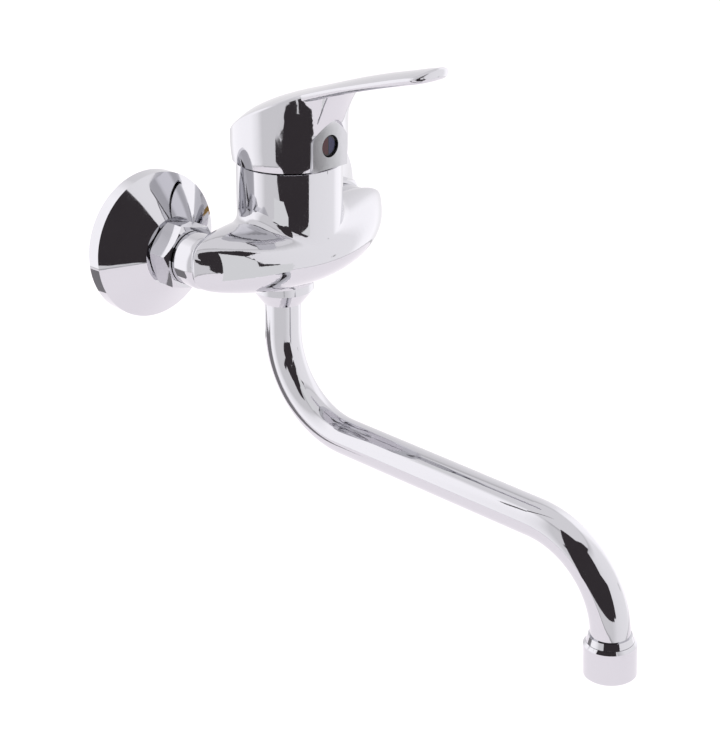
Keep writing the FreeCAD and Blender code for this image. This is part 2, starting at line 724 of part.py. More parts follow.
def disc_driver():
    """Slide on the moving disc, with the pocket that the stem's ball pushes."""
    plate_top = PLATE_Z + DRIVER_PLATE_T
    driver = cylinder(MOVING_DISC_R, PLATE_Z, plate_top, DRIVER_C)
    driver = driver.fuse(block(DRIVER_HALF_X, DRIVER_HALF_Y, PLATE_Z, DRIVER_TOP, DRIVER_C))
    pocket = cylinder(BALL_R + BALL_FIT, BALL_Z - BALL_R - BALL_FIT, DRIVER_TOP + CLEAR, HOUSING_C)
    return driver.cut(pocket)


def turret():
    """Turning core of the cartridge: guide for the driver below, slot and pin hole for the stem above."""
    core = cylinder(TURRET_FLANGE_R, TURRET_BOTTOM, TURRET_FLANGE_TOP, HOUSING_C)
    core = core.fuse(cylinder(TURRET_NECK_R, TURRET_BOTTOM, TURRET_TOP, HOUSING_C))
    guide_half_y = DRIVER_HALF_Y + DISC_REST_Y + STEM_SLOT_FIT
    guide_top = DRIVER_TOP + GUIDE_CEILING_GAP
    core = core.cut(block(DRIVER_HALF_X + GUIDE_FIT, guide_half_y, TURRET_BOTTOM - CLEAR, guide_top,
                          HOUSING_C))
    core = core.cut(block(STEM_AF / 2 + STEM_SLOT_FIT, STEM_SLOT_HALF_Y, guide_top - CLEAR,
                          TURRET_TOP + CLEAR, HOUSING_C))
    return core.cut(pivot_bar(PIVOT_R, TURRET_NECK_R + CLEAR))


def pivot_bar(radius, half_length):
    centre = HOUSING_C + V(0, 0, PIVOT_Z)
    return bar(radius, centre - V(half_length, 0, 0), centre + V(half_length, 0, 0))


def pivot_pin():
    return pivot_bar(PIVOT_R, TURRET_NECK_R - PIVOT_INSET)


def stem():
    """Square stem on the pivot pin; its ball end pushes the driver as the stem tilts."""
    square = block(STEM_AF / 2, STEM_AF / 2, STEM_SQUARE_BOTTOM, STEM_TOP, HOUSING_C)
    shoulder = Part.makeCone(STEM_NECK_R, STEM_AF / 2, STEM_SQUARE_BOTTOM - STEM_NECK_TOP,
                             HOUSING_C + V(0, 0, STEM_NECK_TOP))
    neck = cylinder(STEM_NECK_R, BALL_Z, STEM_NECK_TOP, HOUSING_C)
    ball = Part.makeSphere(BALL_R, HOUSING_C + V(0, 0, BALL_Z))
    lever = square.fuse(shoulder).fuse(neck).fuse(ball)
    return lever.cut(pivot_bar(PIVOT_R + PIVOT_FIT, STEM_AF))


def cartridge_shell():
    inner_r = TURRET_FLANGE_R + SHELL_FIT
    neck_bore_r = TURRET_NECK_R + SHELL_FIT
    shell = cylinder(CARTRIDGE_R, BASE_TOP, SHELL_SHOULDER, HOUSING_C)
    shell = shell.fuse(cylinder(SHELL_NECK_R, BASE_TOP, SHELL_NECK_TOP, HOUSING_C))
    shell = shell.cut(cylinder(inner_r, BASE_TOP - CLEAR, TURRET_FLANGE_TOP + SHELL_FIT, HOUSING_C))
    return shell.cut(cylinder(neck_bore_r, BASE_TOP, SHELL_NECK_TOP + CLEAR, HOUSING_C))


def retaining_nut():
    nut = cylinder(RETAINER_R, SHELL_SHOULDER, RETAINER_THREAD_TOP, HOUSING_C)
    head = hexagon(RETAINER_AF, SHELL_SHOULDER, RETAINER_TOP).translated(HOUSING_C)
    bore = cylinder(RETAINER_HOLE_R, SHELL_SHOULDER - CLEAR, RETAINER_TOP + CLEAR, HOUSING_C)
    return nut.fuse(head).cut(bore)


def cap_ring():
    skirt_r = RETAINER_BORE_R - FREE_FIT
    skirt_bottom = HOUSING_TOP - CAP_RING_SKIRT
    return revolved([
        (CAP_RING_BORE_R, HOUSING_TOP), (CAP_RING_BORE_R, CAP_RING_TOP),
        (CAP_RING_R - CAP_RING_EDGE, CAP_RING_TOP), (CAP_RING_R, CAP_RING_TOP - CAP_RING_EDGE),
        (CAP_RING_R, HOUSING_TOP), (skirt_r, HOUSING_TOP), (skirt_r, skirt_bottom),
        (skirt_r - CAP_RING_SKIRT_T, skirt_bottom), (skirt_r - CAP_RING_SKIRT_T, HOUSING_TOP)], HOUSING_C)


# Handle

def front(distance, x=0.0, z=0.0):
    """Point at a distance in front of the housing axis."""
    return V(x, HOUSING_Y - distance, z)


def lever_plan():
    """Outline of the lever seen from above, from inside the dome to the rounded tip."""
    start = front(LEVER_START_REACH, LEVER_START_HALF)
    root = front(LEVER_ROOT_REACH, LEVER_ROOT_HALF)
    tip_side = front(LEVER_REACH - LEVER_TIP_ROUND, LEVER_TIP_HALF)
    drift = (tip_side - root).normalize()
    flank = Part.BezierCurve()
    flank.setPoles([start, start + LEVER_START_RUN, root - drift * LEVER_ROOT_RUN, root])
    tip = Part.BezierCurve()
    tip.setPoles([tip_side, tip_side + drift * LEVER_TIP_ROUND * LEVER_TIP_FULLNESS,
                  front(LEVER_REACH, LEVER_TIP_HALF * LEVER_TIP_FLAT_SHARE), front(LEVER_REACH)])
    half = [flank.toShape(), Part.LineSegment(root, tip_side).toShape(), tip.toShape()]
    mirrored = [edge.mirror(V(0, 0, 0), V(1, 0, 0)) for edge in half]
    back = Part.makeLine(start, V(-start.x, start.y, 0))
    return Part.Wire(Part.__sortEdges__(half + mirrored + [back]))


def crest_section(distance, height, half_width, fall):
    """Section of the space under the crowned top, in the plane at a distance in front of the axis."""
    reach = half_width + CREST_MARGIN
    radius = (half_width ** 2 + fall ** 2) / (2 * fall)
    edge_z = height - radius + math.sqrt(radius ** 2 - reach ** 2)
    left = front(distance, -reach, edge_z)
    right = front(distance, reach, edge_z)
    floor_right = front(distance, reach, CAVITY_FLOOR)
    floor_left = front(distance, -reach, CAVITY_FLOOR)
    crown = Part.Arc(left, front(distance, 0, height), right).toShape()
    return Part.Wire([crown, Part.makeLine(right, floor_right),
                      Part.makeLine(floor_right, floor_left), Part.makeLine(floor_left, left)])


def under_crest():
    dome_rows = [crest_section(*row) for row in DOME_CREST]
    lever_rows = [crest_section(share * LEVER_REACH, *row) for share, *row in LEVER_CREST]
    return Part.makeLoft(dome_rows + lever_rows, True, False)


def wall_section(height):
    """Closed outline of the dome at a height: drawn in below the bulge, flared forward above it."""
    below = max(0, SKIRT_BULGE_Z - height) / (SKIRT_BULGE_Z - RIM_Z)
    above = max(0, height - FLARE_START_Z)
    radius = SKIRT_R - (SKIRT_R - RIM_R) * below ** 2
    half = [(angle, radius + FLARE_GROWTH * above ** 2 * share) for angle, share in FLARE_SHARES]
    points = []
    for angle, reach in [(-angle, reach) for angle, reach in reversed(half[1:-1])] + half:
        a = math.radians(angle)
        points.append(front(reach * math.cos(a), reach * math.sin(a), height))
    outline = Part.BSplineCurve()
    outline.interpolate(Points=points, PeriodicFlag=True)
    return Part.Wire([outline.toShape()])


def dome():
    """Bulging skirt whose front wall sweeps out into the lever."""
    belly_step = (SKIRT_BULGE_Z - RIM_Z) / BELLY_SECTIONS
    flare_step = (DOME_TOP_Z - SKIRT_BULGE_Z) / FLARE_SECTIONS
    heights = [RIM_Z + i * belly_step for i in range(BELLY_SECTIONS)]
    heights += [SKIRT_BULGE_Z + i * flare_step for i in range(FLARE_SECTIONS + 1)]
    return Part.makeLoft([wall_section(height) for height in heights], True, False)


def above_underside():
    """Space above the lever's underside, from inside the dome to beyond the tip."""
    start, middle, end = [front(share * LEVER_REACH, 0, z) for share, z in UNDERSIDE]
    arc = Part.Arc(start, middle, end)
    slope = arc.tangent(arc.FirstParameter)[0]
    back = start - slope * (LEVER_OVERLAP / abs(slope.y))
    beyond = front(LEVER_REACH + SKIRT_R, 0, end.z)
    corners = [end, beyond, V(0, beyond.y, SKY_Z), V(0, back.y, SKY_Z), back, start]
    lines = [Part.makeLine(a, b) for a, b in zip(corners, corners[1:])]
    face = Part.Face(Part.Wire([arc.toShape()] + lines))
    return face.extrude(V(2 * SKIRT_R, 0, 0)).translated(V(-SKIRT_R, 0, 0))


def facet_arch(back, depth):
    """Arched prism on the facet, from one distance in front of the axis to another."""
    crown = front(back, 0, FACET_TOP)
    edges = [Part.makeLine(front(back, -FACET_HALF_WIDTH, RIM_Z), front(back, FACET_HALF_WIDTH, RIM_Z))]
    for side in (-1, 1):
        side_x = side * FACET_HALF_WIDTH
        spring = front(back, side_x, FACET_SPRING_Z)
        arch = Part.BezierCurve()
        arch.setPoles([spring, spring + V(0, 0, FACET_SIDE_RUN),
                       crown + V(side * FACET_CROWN_RUN, 0, 0), crown])
        edges.append(arch.toShape())
        edges.append(Part.makeLine(spring, front(back, side_x, RIM_Z)))
    wire = Part.Wire(Part.__sortEdges__(edges))
    return Part.Face(wire).extrude(V(0, back - depth, 0))


def faces_meet(shape, edge, first, second):
    """True where a face that passes the first test meets one that passes the second."""
    normals = edge_normals(shape, edge)
    if len(normals) != 2:
        return False
    one, other = normals
    return (first(one) and second(other)) or (first(other) and second(one))


def faces_up(normal):
    return normal.z > STEEP


def faces_down(normal):
    return normal.z < -STEEP


def faces_out(normal):
    return abs(normal.z) < SHALLOW


def handle_outside():
    """Leaf-shaped lever that grows out of a flared dome, with an arched facet below its root."""
    arm = Part.Face(lever_plan()).extrude(V(0, 0, SKY_Z - CLEAR)).common(above_underside())
    arm = filleted(arm, LEVER_UNDER_FILLET, lambda edge: (
        faces_meet(arm, edge, faces_down, faces_out) and edge_middle(edge).y < HOUSING_Y - SKIRT_R / 2))
    body = dome().fuse(arm).common(under_crest())
    body = filleted(body, EDGE_FILLET, lambda edge: faces_meet(body, edge, faces_up, faces_out))
    body = body.cut(facet_arch(FACET_DEPTH, FACET_DEPTH + FACET_PAD))
    return body.fuse(facet_arch(FACET_DEPTH - FACET_PAD, FACET_DEPTH)).removeSplitter()


def handle_cavity():
    """Hollow of the dome, clear of the housing and the cap ring over the whole lift."""
    return revolved([
        (0, RIM_Z - CLEAR), (SKIRT_BORE_R, RIM_Z - CLEAR), (SKIRT_BORE_R, CAVITY_SHOULDER_Z),
        (CAVITY_WAIST_R, CAVITY_WAIST_Z), (CAVITY_ROOF_R, CAVITY_ROOF_Z), (0, CAVITY_ROOF_Z)], HOUSING_C)


def along_tunnel(radius, start, end):
    """Round bar on the screw's axis between two distances in front of the housing axis."""
    return bar(radius, front(start, 0, PLUG_Z), front(end, 0, PLUG_Z))


def handle():
    body = handle_outside().cut(handle_cavity())
    hub = cylinder(HUB_R, HUB_BOTTOM, CAVITY_ROOF_Z + CLEAR, HOUSING_C)
    tunnel = along_tunnel(TUNNEL_R, 0, FACET_DEPTH - PLUG_RECESS)
    body = body.fuse(hub.fuse(tunnel))
    body = body.cut(block(STEM_AF / 2 + SOCKET_FIT, STEM_AF / 2 + SOCKET_FIT, HUB_BOTTOM - TUNNEL_R,
                          STEM_TOP + SOCKET_FIT, HOUSING_C))
    plug_seat = FACET_DEPTH - PLUG_RECESS - PLUG_T
    body = body.cut(along_tunnel(PLUG_R + PLUG_FIT, plug_seat, FACET_DEPTH + CLEAR))
    body = body.cut(along_tunnel(KEY_CHANNEL_R, STEM_AF / 2 + HANDLE_SCREW_LENGTH, FACET_DEPTH))
    return body.cut(along_tunnel(HANDLE_SCREW_R, 0, FACET_DEPTH))


def handle_screw():
    screw = grub_screw(HANDLE_SCREW_R, HANDLE_SCREW_LENGTH)
    turned = screw.rotated(V(0, 0, 0), V(1, 0, 0), 90)
    return turned.translated(front(STEM_AF / 2, 0, PLUG_Z))


def index_plug():
    """Round plug with a short snap stem behind its chamfered face."""
    plug = revolved([
        (0, 0), (PLUG_R - PLUG_EDGE, 0), (PLUG_R, -PLUG_EDGE), (PLUG_R, -PLUG_T),
        (PLUG_STEM_R, -PLUG_T), (PLUG_STEM_R, -PLUG_T - PLUG_STEM_LENGTH), (0, -PLUG_T - PLUG_STEM_LENGTH)])
    turned = plug.rotated(V(0, 0, 0), V(1, 0, 0), 90)
    return turned.translated(front(FACET_DEPTH - PLUG_RECESS, 0, PLUG_Z))


def export(name, shape):
    shape.exportStep("parts/" + name + ".step")


def main():
    os.makedirs("parts", exist_ok=True)
    export("body_casting", body_casting())
    for side, name in ((-1, "left"), (1, "right")):
        export(name + "_wall_union", on_inlet(wall_union(), side))
        export(name + "_escutcheon", on_inlet(escutcheon(), side))
        export(name + "_union_nut", on_inlet(union_nut(), side))
        export(name + "_filter_washer", on_inlet(filter_washer(), side))
        export(name + "_inlet_bush", on_inlet(inlet_bush(), side))
    export("spout_tube", spout_tube())
    export("spout_tail", spout_tail())
    export("spout_o_rings", spout_o_rings())
    export("spout_slide_ring", spout_slide_ring())
    export("spout_lock_screw", spout_lock_screw())
    export("outlet_ferrule", at_outlet(outlet_ferrule()))
    export("aerator_housing", at_outlet(aerator_housing()))
    export("aerator_washer", at_outlet(aerator_washer()))
    export("aerator_mesh", at_outlet(aerator_mesh()))
    export("aerator_insert", at_outlet(aerator_insert()))
    export("cartridge_base", cartridge_base())
    export("port_seals", port_seals())
    export("fixed_disc", fixed_disc())
    export("moving_disc", moving_disc())
    export("disc_driver", disc_driver())
    export("turret", turret())
    export("pivot_pin", pivot_pin())
    export("stem", stem())
    export("cartridge_shell", cartridge_shell())
    export("retaining_nut", retaining_nut())
    export("cap_ring", cap_ring())
    export("handle", handle())
    export("handle_screw", handle_screw())
    export("index_plug", index_plug())


main()
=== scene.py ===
import math

import bmesh
import bpy
from mathutils import Matrix, Vector


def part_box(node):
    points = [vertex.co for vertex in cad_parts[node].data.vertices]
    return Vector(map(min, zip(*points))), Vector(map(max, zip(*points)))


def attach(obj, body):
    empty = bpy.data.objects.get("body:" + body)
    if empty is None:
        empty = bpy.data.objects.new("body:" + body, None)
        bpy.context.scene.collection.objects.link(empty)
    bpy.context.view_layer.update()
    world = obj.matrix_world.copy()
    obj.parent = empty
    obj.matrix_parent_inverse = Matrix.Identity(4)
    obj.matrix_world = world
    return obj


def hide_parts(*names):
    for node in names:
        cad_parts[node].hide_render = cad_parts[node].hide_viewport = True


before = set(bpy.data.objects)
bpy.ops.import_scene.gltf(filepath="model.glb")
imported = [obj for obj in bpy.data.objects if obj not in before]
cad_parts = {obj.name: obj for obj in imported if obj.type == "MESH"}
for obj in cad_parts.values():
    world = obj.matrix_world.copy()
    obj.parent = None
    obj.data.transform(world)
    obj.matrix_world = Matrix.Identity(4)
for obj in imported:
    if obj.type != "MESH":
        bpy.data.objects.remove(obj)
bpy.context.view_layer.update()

bl_info = {
    "name": "Wall-mounted sink mixer",
    "version": (1, 0, 0),
    "blender": (4, 5, 0),
    "location": "3D View > Sidebar > Sink Mixer",
    "description": "Finishes, threads, strainer cloth and studio for a chrome wall-mounted sink mixer",
    "category": "Object",
}

# One millimetre, in the metres that the scene is in
MM = 0.001

# Colours of the finishes, as they look in daylight
CHROME_HEX = "#CDCDD1"
BRASS_HEX = "#C8A45C"
RUBBER_HEX = "#1D1D1F"
ACETAL_HEX = "#E4E1D8"
ALUMINA_HEX = "#F0ECE2"
ALUMINA_GRAIN_HEX = "#B8B2A4"
STAINLESS_HEX = "#B9B7B2"
ZINC_HEX = "#A9ABB0"
HOT_HEX = "#3E0E16"
COLD_HEX = "#232348"
PLUG_BODY_HEX = "#0E0E12"

# Colours of the studio
FLOOR_HEX = "#F3EFF2"
SKY_HEX = "#FFFDFF"
CARD_HEX = "#3E393C"
GREY_CARD_HEX = "#8E8B8E"
WHITE_CARD_HEX = "#FFFFFF"

# Nodes that take each finish
CHROME_NODES = (
    "body_casting", "left_escutcheon", "right_escutcheon", "left_union_nut", "right_union_nut",
    "spout_tube", "outlet_ferrule", "aerator_housing", "handle", "cap_ring")
BRASS_NODES = ("left_inlet_bush", "right_inlet_bush", "spout_tail", "retaining_nut")
RUBBER_NODES = (
    "left_filter_washer", "right_filter_washer", "spout_o_rings", "aerator_washer", "port_seals")
ACETAL_NODES = (
    "spout_slide_ring", "cartridge_base", "disc_driver", "turret", "cartridge_shell",
    "aerator_insert")
CERAMIC_NODES = ("fixed_disc", "moving_disc")
STEEL_NODES = ("spout_lock_screw", "pivot_pin", "handle_screw")
STEM_NODES = ("stem",)
PLUG_NODES = ("index_plug",)

# Span that noise seldom leaves, which the finishes spread over their own
NOISE_LOW = 0.3
NOISE_HIGH = 0.7

# Height of the chrome's fine grain, as a share of its slow waves
GRAIN_SHARE = 0.02

# Printed disc on the plug, and half of the line between its two colours
PLUG_PRINT_R = 4.1 * MM
PLUG_HALF_GAP = 0.25 * MM

# Front face of the flange of a wall union, whose other face is on the wall plane
FLANGE_FRONT_Y = -3.0 * MM
# Room that the nut's thread leaves at the front end and at the flange, and the wall's thread at the
# wall plane and at the rear end
NUT_THREAD_GAPS = (0.5 * MM, 0.3 * MM)
WALL_THREAD_GAPS = (0.4 * MM, 0.6 * MM)
# Where the plain cylinders are drawn in to the roots: from these gaps to past the union's ends
WALL_ROOT_GAP = 0.5 * MM
NUT_ROOT_GAP = 0.2 * MM
PAST_END = 1.0 * MM
# A point within this distance outside a plain cylinder counts as on it, and closer points are merged
RADIUS_SLACK = 0.1 * MM
MERGE_DISTANCE = 0.002 * MM
# Widths of a tooth at its buried foot and at its crest, as shares of the pitch
TOOTH_FOOT_SHARE = 1.7
TOOTH_CREST_SHARE = 0.18

# Weave of the strainer cloth: its rise and fall as a share of the wire, and its slope in the outlet
WAVE_SHARE = 0.55
CLOTH_TILT = math.radians(-4.4)


def linear(hex_colour):
    """Linear red, green and blue of an sRGB hex colour."""
    parts = [int(hex_colour[i:i + 2], 16) / 255 for i in (1, 3, 5)]
    return tuple(p / 12.92 if p <= 0.04045 else ((p + 0.055) / 1.055) ** 2.4 for p in parts)


def opaque(colour):
    """Colour with the full alpha that node sockets ask for."""
    return (colour[0], colour[1], colour[2], 1.0)


# Settings

def colour_property(name, description, hex_colour):
    return bpy.props.FloatVectorProperty(
        name=name, description=description, subtype="COLOR", size=3, min=0, max=1,
        default=linear(hex_colour))


def length_property(name, description, default):
    return bpy.props.FloatProperty(
        name=name, description=description, subtype="DISTANCE", unit="LENGTH", default=default)


class MixerFinishes(bpy.types.PropertyGroup):
    """Colours of the mixer's finishes."""

    chrome: colour_property("Chrome", "Tint of the chrome plate", CHROME_HEX)
    brass: colour_property("Brass", "Machined brass parts", BRASS_HEX)
    rubber: colour_property("Rubber", "Washers and seals", RUBBER_HEX)
    acetal: colour_property("Acetal", "Moulded inner parts", ACETAL_HEX)
    alumina: colour_property("Alumina", "Ground ceramic discs", ALUMINA_HEX)
    stainless: colour_property(
        "Stainless steel", "Pin, grub screws and strainer cloth", STAINLESS_HEX)
    zinc: colour_property("Zinc", "Die-cast cartridge stem", ZINC_HEX)
    hot: colour_property("Hot", "Hot half of the index plug", HOT_HEX)
    cold: colour_property("Cold", "Cold half of the index plug", COLD_HEX)
    plug: colour_property("Plug", "Body of the index plug", PLUG_BODY_HEX)
    ripple: length_property("Ripple", "Height of the faint waves left by polishing", 9e-6)


class MixerThreads(bpy.types.PropertyGroup):
    """Sizes of the pipe threads and the strainer cloth."""

    wall_radius: length_property("Wall thread radius", "Outer radius of the G1/2 thread", 0.01048)
    wall_pitch: length_property("Wall thread pitch", "Rise of one turn, 14 turns to the inch", 0.001814)
    nut_radius: length_property("Nut thread radius", "Radius of the nut's thread on the union", 0.01205)
    tooth_depth: length_property("Tooth depth", "Height of a pipe thread's tooth", 0.00110)
    wire: length_property("Wire", "Thickness of the strainer's wire", 0.00028)
    wire_pitch: length_property("Wire pitch", "Distance between neighbouring wires", 0.0009)


class MixerStudio(bpy.types.PropertyGroup):
    """Camera, floor and light of the picture."""

    target: bpy.props.FloatVectorProperty(
        name="Target", description="Point in the middle of the picture", subtype="TRANSLATION",
        unit="LENGTH", size=3, default=(0.01313, -0.080, -0.06645))
    azimuth: bpy.props.FloatProperty(
        name="Azimuth", description="Direction of the camera seen from above, from the front",
        subtype="ANGLE", default=math.radians(-47.03))
    elevation: bpy.props.FloatProperty(
        name="Elevation", description="Height of the camera above the horizon", subtype="ANGLE",
        default=math.radians(24.37))
    roll: bpy.props.FloatProperty(
        name="Roll", description="Turn of the camera about its line of sight", subtype="ANGLE",
        default=math.radians(0.57))
    distance: length_property("Distance", "From the camera to the target", 0.81639)
    lens: bpy.props.FloatProperty(
        name="Lens", description="Focal length in millimetres", subtype="DISTANCE_CAMERA",
        default=79.85)
    floor_height: length_property("Floor height", "Height of the floor below the inlets", -0.60)
    floor: colour_property("Floor", "Colour of the pale floor", FLOOR_HEX)
    sky: colour_property("Light tent", "Colour of the light all round", SKY_HEX)
    sky_strength: bpy.props.FloatProperty(
        name="Tent strength", description="Brightness of the light all round", default=1.0)
    wall_distance: length_property("Wall distance", "From the mixer to the tent's walls", 1.2)
    floor_reach: length_property("Floor reach", "From the mixer to the floor's edges", 9.0)


# Node trees

def add_node(tree, kind, wires=None, **settings):
    """Adds a node with its settings; wires gives each input a value or another node's socket."""
    node = tree.nodes.new(kind)
    for name, value in settings.items():
        setattr(node, name, value)
    for name, value in (wires or {}).items():
        if isinstance(value, bpy.types.NodeSocket):
            tree.links.new(value, node.inputs[name])
        else:
            node.inputs[name].default_value = value
    return node


def new_finish(name, colour, metallic, roughness):
    """Material with a shader of that colour; gives the material, its tree and its shader."""
    material = bpy.data.materials.new(name)
    material.use_nodes = True
    tree = material.node_tree
    shader = tree.nodes["Principled BSDF"]
    shader.inputs["Base Color"].default_value = opaque(colour)
    shader.inputs["Metallic"].default_value = metallic
    shader.inputs["Roughness"].default_value = roughness
    material.diffuse_color = opaque(colour)
    return material, tree, shader


def object_noise(tree, grain, stretch=(1, 1, 1), detail=2.0):
    """Noise with a grain of that size in metres, drawn out along the axes with a larger stretch."""
    place = add_node(tree, "ShaderNodeTexCoord")
    scale = add_node(tree, "ShaderNodeMapping", {
        "Vector": place.outputs["Object"], "Scale": [1 / s for s in stretch]})
    return add_node(tree, "ShaderNodeTexNoise", {
        "Vector": scale.outputs["Vector"], "Scale": 1 / grain, "Detail": detail}).outputs["Fac"]


def between(tree, noise, low, high):
    """Noise spread over the span from low to high."""
    return add_node(tree, "ShaderNodeMapRange", {
        "Value": noise, "From Min": NOISE_LOW, "From Max": NOISE_HIGH,
        "To Min": low, "To Max": high}).outputs["Result"]


def bumped(tree, shader, value, height, under=None):
    """Gives the shader bumps of that height in metres, laid over the bumps under them if any."""
    bump = add_node(tree, "ShaderNodeBump", {"Height": value, "Distance": height, "Strength": 1.0})
    if under:
        tree.links.new(under.outputs["Normal"], bump.inputs["Normal"])
    tree.links.new(bump.outputs["Normal"], shader.inputs["Normal"])
    return bump


# Finishes

def chrome_plate(settings):
    """Bright nickel and chrome plate on polished brass: a mirror with the faint, slow waves of the
    buffing wheel, which bend the edges of reflections, and hazier patches where it was wiped."""
    material, tree, shader = new_finish(
        "polished_chrome_plate", settings.chrome, metallic=1.0, roughness=0.04)
    haze = object_noise(tree, 11 * MM, detail=4.0)
    tree.links.new(between(tree, haze, low=0.025, high=0.075), shader.inputs["Roughness"])
    waves = bumped(tree, shader, object_noise(tree, 9 * MM), height=settings.ripple)
    grain = object_noise(tree, 0.6 * MM, detail=3.0)
    bumped(tree, shader, grain, height=settings.ripple * GRAIN_SHARE, under=waves)
    return material


def turned_brass(settings):
    """Machined brass: a warm metal with fine feed marks that spread its highlights."""
    material, tree, shader = new_finish(
        "turned_brass", settings.brass, metallic=1.0, roughness=0.28)
    stain = object_noise(tree, 4 * MM, detail=5.0)
    tree.links.new(between(tree, stain, low=0.2, high=0.36), shader.inputs["Roughness"])
    # Feed marks of 0.25 mm, the same along every axis, since the parts are turned about two of them
    marks = object_noise(tree, 0.25 * MM, detail=1.0)
    bumped(tree, shader, marks, height=6e-6)
    return material


def moulded_rubber(settings):
    """Nitrile rubber from a mould: nearly black, soft sheen, with a fine bloom on its surface."""
    material, tree, shader = new_finish(
        "nitrile_rubber", settings.rubber, metallic=0.0, roughness=0.55)
    bloom = object_noise(tree, 1.2 * MM, detail=6.0)
    tree.links.new(between(tree, bloom, low=0.45, high=0.7), shader.inputs["Roughness"])
    bumped(tree, shader, bloom, height=12e-6)
    return material


def moulded_acetal(settings):
    """Injection-moulded acetal: waxy off-white, slightly see-through at its edges, satin sheen."""
    material, tree, shader = new_finish(
        "moulded_acetal", settings.acetal, metallic=0.0, roughness=0.38)
    shader.inputs["Subsurface Weight"].default_value = 0.15
    shader.inputs["Subsurface Scale"].default_value = 1.0 * MM
    flow = object_noise(tree, 6 * MM, detail=3.0)
    tree.links.new(between(tree, flow, low=0.32, high=0.46), shader.inputs["Roughness"])
    bumped(tree, shader, object_noise(tree, 0.4 * MM), height=5e-6)
    return material


def ground_alumina(settings):
    """Lapped alumina: dense white ceramic with a dull polish and single darker grains."""
    material, tree, shader = new_finish(
        "lapped_alumina", settings.alumina, metallic=0.0, roughness=0.2)
    grains = object_noise(tree, 0.35 * MM, detail=2.0)
    speckle = add_node(tree, "ShaderNodeMix", {
        "Factor": between(tree, grains, low=0.0, high=0.18), "A": opaque(settings.alumina),
        "B": opaque(linear(ALUMINA_GRAIN_HEX))}, data_type="RGBA")
    tree.links.new(speckle.outputs["Result"], shader.inputs["Base Color"])
    tree.links.new(between(tree, grains, low=0.16, high=0.3), shader.inputs["Roughness"])
    return material


def drawn_stainless(settings):
    """Stainless steel bar and wire: grey metal with fine drawn lines and a satin shine."""
    material, tree, shader = new_finish(
        "drawn_stainless", settings.stainless, metallic=1.0, roughness=0.25)
    lines = object_noise(tree, 0.12 * MM, stretch=(30, 1, 1))
    tree.links.new(between(tree, lines, low=0.18, high=0.38), shader.inputs["Roughness"])
    bumped(tree, shader, lines, height=3e-6)
    return material


def cast_zinc(settings):
    """Die-cast zinc with a passivated skin: grey metal, slightly mottled."""
    material, tree, shader = new_finish(
        "passivated_zinc", settings.zinc, metallic=1.0, roughness=0.4)
    skin = object_noise(tree, 1.6 * MM, detail=5.0)
    tree.links.new(between(tree, skin, low=0.3, high=0.52), shader.inputs["Roughness"])
    bumped(tree, shader, skin, height=10e-6)
    return material


def plug_lacquer(settings, middle):
    """Printed and lacquered plug: a glossy dark disc, hot half red, cold half blue, parted by a
    thin line. The halves follow the side of the mixer that each supply is on."""
    material, tree, shader = new_finish(
        "index_plug_lacquer", settings.plug, metallic=0.0, roughness=0.25)
    place = add_node(tree, "ShaderNodeTexCoord")
    axes = add_node(tree, "ShaderNodeSeparateXYZ", {"Vector": place.outputs["Object"]})
    hot = add_node(tree, "ShaderNodeMath", {0: axes.outputs["X"], 1: -PLUG_HALF_GAP},
                   operation="LESS_THAN")
    cold = add_node(tree, "ShaderNodeMath", {0: axes.outputs["X"], 1: PLUG_HALF_GAP},
                    operation="GREATER_THAN")
    above = add_node(tree, "ShaderNodeMath", {0: axes.outputs["Z"], 1: middle.z}, operation="SUBTRACT")
    across = add_node(tree, "ShaderNodeCombineXYZ", {"X": axes.outputs["X"], "Y": above.outputs[0]})
    reach = add_node(tree, "ShaderNodeVectorMath", {0: across.outputs[0]}, operation="LENGTH")
    inside = add_node(tree, "ShaderNodeMath", {0: reach.outputs["Value"], 1: PLUG_PRINT_R},
                      operation="LESS_THAN")
    colour = opaque(settings.plug)
    for side, tint in ((hot, settings.hot), (cold, settings.cold)):
        share = add_node(tree, "ShaderNodeMath", {0: side.outputs[0], 1: inside.outputs[0]},
                         operation="MULTIPLY")
        mix = add_node(tree, "ShaderNodeMix", {
            "Factor": share.outputs[0], "A": colour, "B": opaque(tint)}, data_type="RGBA")
        colour = mix.outputs["Result"]
    tree.links.new(colour, shader.inputs["Base Color"])
    bumped(tree, shader, object_noise(tree, 0.8 * MM), height=4e-6)
    return material


def finish_nodes(names, material):
    """Puts one material on the CAD nodes of those names."""
    for name in names:
        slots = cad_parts[name].data.materials
        slots.clear()
        slots.append(material)


# Pieces

def place_piece(name, mesh, body, replaced=()):
    """Links a finished mesh as a smooth piece that rides on a body and replaces nodes."""
    piece = bpy.data.objects.new(name, mesh)
    bpy.context.scene.collection.objects.link(piece)
    for polygon in mesh.polygons:
        polygon.use_smooth = True
    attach(piece, body)
    for node in replaced:
        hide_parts(node)


def tree_with_inputs(name, sizes):
    """Geometry tree with a named input for each size; gives the tree, its inputs and its output."""
    tree = bpy.data.node_groups.new(name, "GeometryNodeTree")
    for label, value in sizes.items():
        whole = isinstance(value, int)
        socket = tree.interface.new_socket(
            label, in_out="INPUT", socket_type="NodeSocketInt" if whole else "NodeSocketFloat")
        socket.default_value = value
    tree.interface.new_socket("Mesh", in_out="OUTPUT", socket_type="NodeSocketGeometry")
    given = tree.nodes.new("NodeGroupInput")
    made = tree.nodes.new("NodeGroupOutput")
    return tree, given.outputs, made.inputs["Mesh"]


def realised(tree, geometry, material, output):
    """Ends a tree: real mesh, its material, and the tree's output."""
    real = add_node(tree, "GeometryNodeRealizeInstances", {"Geometry": geometry})
    painted = add_node(tree, "GeometryNodeSetMaterial", {
        "Geometry": real.outputs["Geometry"], "Material": material})
    tree.links.new(painted.outputs["Geometry"], output)


